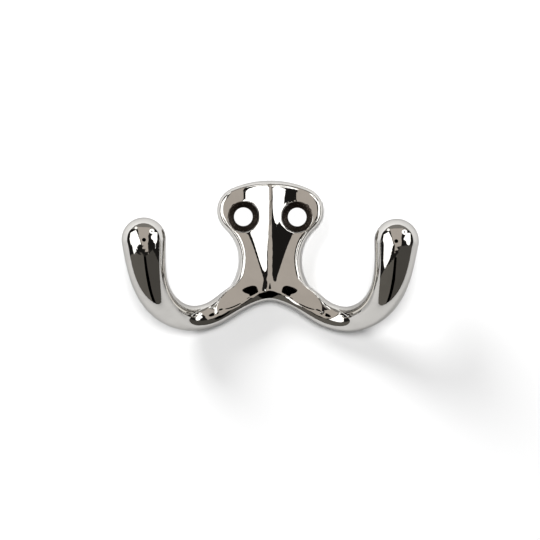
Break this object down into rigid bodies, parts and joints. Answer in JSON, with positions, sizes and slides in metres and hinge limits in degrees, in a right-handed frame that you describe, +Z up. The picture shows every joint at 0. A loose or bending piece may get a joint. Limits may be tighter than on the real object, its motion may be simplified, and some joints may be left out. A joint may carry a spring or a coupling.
{
  "type": "wall hook",
  "caption": "Double robe hook cast in one piece and polished, with a ridged plate, countersunk screw holes and arms that sweep out to rounded tips.",
  "frame": {"origin": "on the back face, midway between the two screw holes", "axes": "+X to the right as seen from the room, +Y into the wall, +Z up"},
  "size_m": [0.0742, 0.0283, 0.0387],
  "materials": {
    "nickel": "polished"
  },
  "bodies": {
    "root": {"double_hook": "nickel"}
  },
  "joints": []
}
